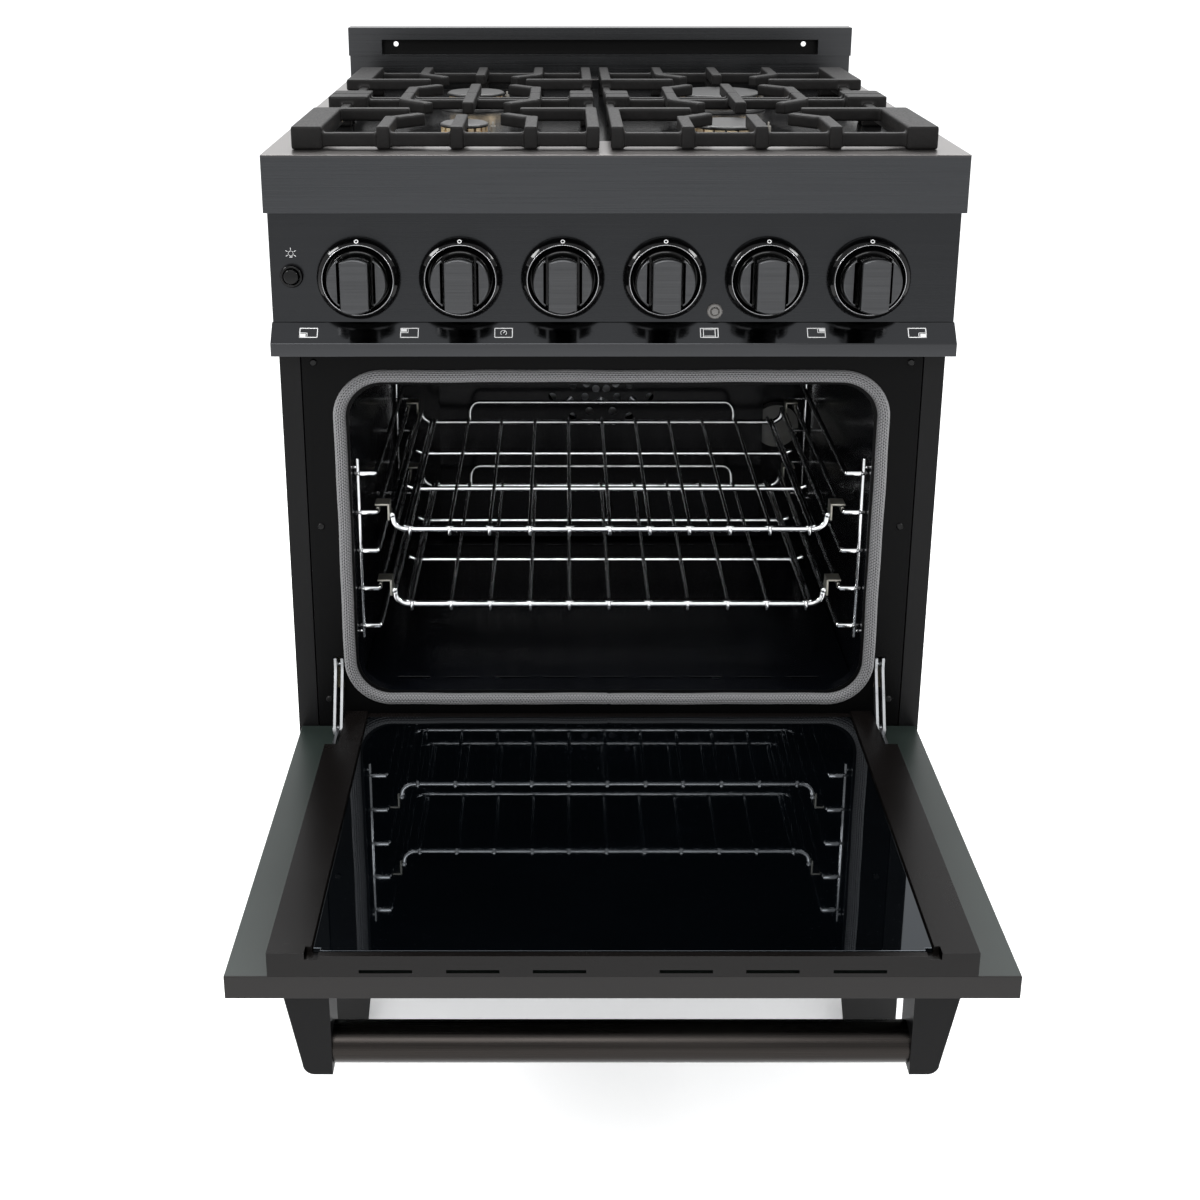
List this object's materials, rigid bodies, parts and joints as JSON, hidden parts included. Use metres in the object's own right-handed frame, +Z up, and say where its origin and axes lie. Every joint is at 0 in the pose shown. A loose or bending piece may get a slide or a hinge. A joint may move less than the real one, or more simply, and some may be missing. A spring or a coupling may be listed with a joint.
{
  "type": "freestanding gas range",
  "caption": "Freestanding gas range with cast iron grates, turning knobs and a drop-down oven door over sliding wire racks.",
  "frame": {"origin": "on the floor, under the middle of the range measured with its oven door lowered", "axes": "+Z up, the front and the oven door face -Y, +X to the right of a person facing the front"},
  "size_m": [0.608, 1.0088, 0.974],
  "materials": {
    "galvanised": "dull zinc coated sheet",
    "leg_steel": "satin black paint",
    "foot_rubber": "matt moulded rubber over a threaded stud",
    "side_steel": "satin black paint",
    "frame_enamel": "glossy black enamel",
    "oven_enamel": "glossy blue-black enamel with fine specks",
    "insulation_wool": "matted mineral wool",
    "gasket_braid": "braided glass fibre rope",
    "tube_steel": "drawn steel",
    "fan_steel": "pressed steel",
    "lamp_glass": "clear pressed glass",
    "wire_chrome": "bright plated wire",
    "hinge_steel": "zinc plated steel",
    "cooktop_steel": "black brushed steel with a satin top",
    "guard_steel": "black brushed steel",
    "panel_steel": "black brushed steel",
    "rail_steel": "black brushed steel",
    "bezel_gloss": "high gloss black",
    "valve_brass": "machined brass",
    "inlet_plastic": "moulded black plastic",
    "indicator_lens": "dark lens in a black ring",
    "burner_base_iron": "blackened cast aluminium",
    "burner_brass": "turned brass",
    "cap_enamel": "matt black enamel on iron",
    "electrode_ceramic": "white ceramic",
    "grate_iron": "matt enamelled cast iron",
    "stem_steel": "turned steel",
    "knob_metal": "black brushed metal",
    "door_steel": "black brushed steel",
    "door_glass": "dark mirror-like tempered glass",
    "liner_enamel": "satin black enamel",
    "handle_steel": "black brushed tube",
    "bracket_black": "satin black paint",
    "screw_steel": "blackened steel"
  },
  "bodies": {
    "cabinet": {"base_pan": "galvanised", "legs": "leg_steel", "levelling_feet": "foot_rubber", "left_side_panel": "side_steel", "right_side_panel": "side_steel", "rear_cover": "galvanised", "front_frame": "frame_enamel", "oven_cavity": "oven_enamel", "oven_insulation": "insulation_wool", "door_gasket": "gasket_braid", "oven_floor_panel": "oven_enamel", "oven_burner_tube": "tube_steel", "fan_baffle": "oven_enamel", "fan_motor": "tube_steel", "oven_lamp_lens": "lamp_glass", "rack_guides": "wire_chrome", "hinge_arms": "hinge_steel", "cooktop": "cooktop_steel", "backguard": "guard_steel", "control_panel": "panel_steel", "drip_rail": "rail_steel", "control_bezels": "bezel_gloss", "gas_valves": "valve_brass", "gas_manifold": "tube_steel", "burner_supply_tubes": "tube_steel", "power_inlet": "inlet_plastic", "indicator_light": "indicator_lens", "kick_panel": "side_steel", "burner_bases": "burner_base_iron", "burner_rings": "burner_brass", "burner_caps": "cap_enamel", "burner_electrodes": "electrode_ceramic", "fastening_screws": "screw_steel"},
    "convection_fan": {"convection_fan": "fan_steel"},
    "upper_rack": {"upper_rack": "wire_chrome"},
    "lower_rack": {"lower_rack": "wire_chrome"},
    "lamp_button": {"lamp_button": "bezel_gloss"},
    "grate_front_left": {"grate_front_left": "grate_iron"},
    "grate_front_right": {"grate_front_right": "grate_iron"},
    "grate_rear_left": {"grate_rear_left": "grate_iron"},
    "grate_rear_right": {"grate_rear_right": "grate_iron"},
    "stem_1": {"stem_1": "stem_steel"},
    "stem_2": {"stem_2": "stem_steel"},
    "stem_3": {"stem_3": "stem_steel"},
    "stem_4": {"stem_4": "stem_steel"},
    "stem_5": {"stem_5": "stem_steel"},
    "stem_6": {"stem_6": "stem_steel"},
    "knob_1": {"knob_1": "knob_metal"},
    "knob_2": {"knob_2": "knob_metal"},
    "knob_3": {"knob_3": "knob_metal"},
    "knob_4": {"knob_4": "knob_metal"},
    "knob_5": {"knob_5": "knob_metal"},
    "knob_6": {"knob_6": "knob_metal"},
    "door": {"door_outer_panel": "door_steel", "door_outer_glass": "door_glass", "door_liner": "liner_enamel", "door_inner_glass": "door_glass", "door_hinge_bodies": "hinge_steel", "handle_bar": "handle_steel", "handle_brackets": "bracket_black"}
  },
  "joints": [
    {"name": "door_hinge", "type": "hinge", "parent": "cabinet", "child": "door", "pos_m": [0, -0.1307, 0.3578], "axis": [1, 0, 0], "range_deg": [-90, 0]},
    {"name": "knob_1_turn", "type": "hinge", "parent": "cabinet", "child": "stem_1", "pos_m": [-0.225, -0.1295, 0.803], "axis": [0, -1, 0], "range_deg": [0, 210]},
    {"name": "knob_1_push", "type": "slide", "parent": "stem_1", "child": "knob_1", "axis": [0, 1, 0], "range_m": [0, 0.003], "stiffness_N_per_m": 800},
    {"name": "knob_2_turn", "type": "hinge", "parent": "cabinet", "child": "stem_2", "pos_m": [-0.135, -0.1295, 0.803], "axis": [0, -1, 0], "range_deg": [0, 210]},
    {"name": "knob_2_push", "type": "slide", "parent": "stem_2", "child": "knob_2", "axis": [0, 1, 0], "range_m": [0, 0.003], "stiffness_N_per_m": 800},
    {"name": "knob_3_turn", "type": "hinge", "parent": "cabinet", "child": "stem_3", "pos_m": [-0.045, -0.1295, 0.803], "axis": [0, -1, 0], "range_deg": [0, 290]},
    {"name": "knob_3_push", "type": "slide", "parent": "stem_3", "child": "knob_3", "axis": [0, 1, 0], "range_m": [0, 0.003], "stiffness_N_per_m": 800},
    {"name": "knob_4_turn", "type": "hinge", "parent": "cabinet", "child": "stem_4", "pos_m": [0.045, -0.1295, 0.803], "axis": [0, -1, 0], "range_deg": [0, 290]},
    {"name": "knob_4_push", "type": "slide", "parent": "stem_4", "child": "knob_4", "axis": [0, 1, 0], "range_m": [0, 0.003], "stiffness_N_per_m": 800},
    {"name": "knob_5_turn", "type": "hinge", "parent": "cabinet", "child": "stem_5", "pos_m": [0.135, -0.1295, 0.803], "axis": [0, -1, 0], "range_deg": [0, 210]},
    {"name": "knob_5_push", "type": "slide", "parent": "stem_5", "child": "knob_5", "axis": [0, 1, 0], "range_m": [0, 0.003], "stiffness_N_per_m": 800},
    {"name": "knob_6_turn", "type": "hinge", "parent": "cabinet", "child": "stem_6", "pos_m": [0.225, -0.1295, 0.803], "axis": [0, -1, 0], "range_deg": [0, 210]},
    {"name": "knob_6_push", "type": "slide", "parent": "stem_6", "child": "knob_6", "axis": [0, 1, 0], "range_m": [0, 0.003], "stiffness_N_per_m": 800},
    {"name": "lamp_button_push", "type": "slide", "parent": "cabinet", "child": "lamp_button", "axis": [0, 1, 0], "range_m": [0, 0.003], "stiffness_N_per_m": 400},
    {"name": "upper_rack_slide", "type": "slide", "parent": "cabinet", "child": "upper_rack", "axis": [0, -1, 0], "range_m": [0, 0.28]},
    {"name": "lower_rack_slide", "type": "slide", "parent": "cabinet", "child": "lower_rack", "axis": [0, -1, 0], "range_m": [0, 0.28]},
    {"name": "fan_spin", "type": "hinge", "parent": "cabinet", "child": "convection_fan", "pos_m": [0, 0.311, 0.6], "axis": [0, -1, 0], "continuous": true},
    {"name": "grate_front_left_lift", "type": "slide", "parent": "cabinet", "child": "grate_front_left", "axis": [0, 0, 1], "range_m": [0, 0.06]},
    {"name": "grate_front_right_lift", "type": "slide", "parent": "cabinet", "child": "grate_front_right", "axis": [0, 0, 1], "range_m": [0, 0.06]},
    {"name": "grate_rear_left_lift", "type": "slide", "parent": "cabinet", "child": "grate_rear_left", "axis": [0, 0, 1], "range_m": [0, 0.06]},
    {"name": "grate_rear_right_lift", "type": "slide", "parent": "cabinet", "child": "grate_rear_right", "axis": [0, 0, 1], "range_m": [0, 0.06]}
  ]
}
